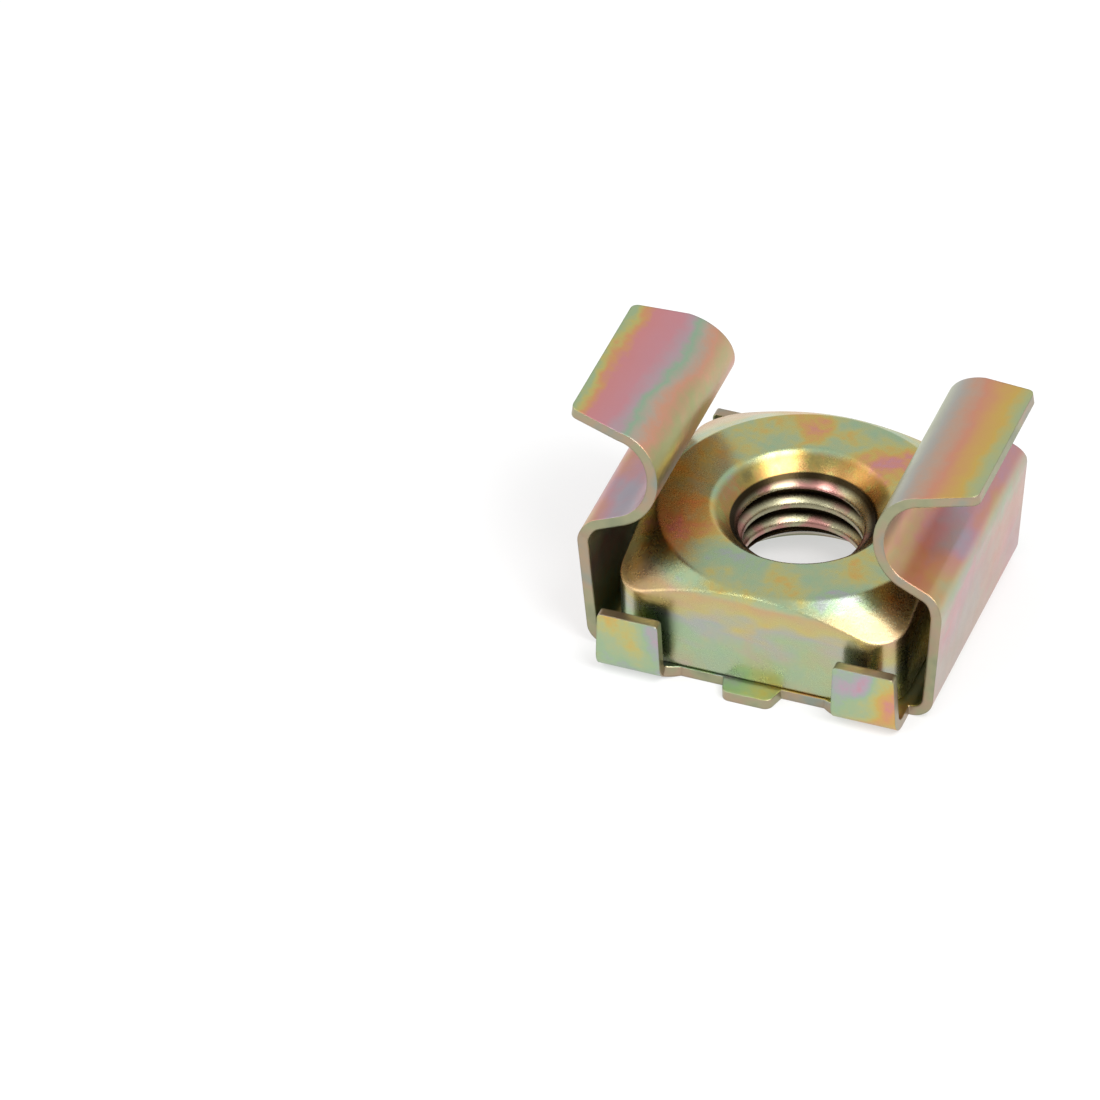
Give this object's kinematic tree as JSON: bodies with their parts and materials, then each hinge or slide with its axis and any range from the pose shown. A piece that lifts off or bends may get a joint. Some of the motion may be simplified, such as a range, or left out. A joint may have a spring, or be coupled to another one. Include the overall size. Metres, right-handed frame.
{
  "type": "rack cage nut",
  "caption": "Cage nut for square rack rail holes: a square nut held loose in a folded spring-steel cage with two snap-in legs.",
  "frame": {"origin": "on the thread's axis, in the underside of the cage's base plate", "axes": "+Z along the thread's axis, out of the base plate towards the wings and the panel; +X across the two spring legs; +Y along the legs' edges"},
  "size_m": [0.0174, 0.0142, 0.0105],
  "materials": {
    "cage_zinc": "yellow chromate over zinc plating, satin, with an iridescent tint from green through pink to gold",
    "nut_zinc": "yellow chromate over zinc plating, satin to glossy, with an iridescent tint"
  },
  "bodies": {
    "root": {"spring_cage": "cage_zinc", "square_nut": "nut_zinc"}
  },
  "joints": []
}
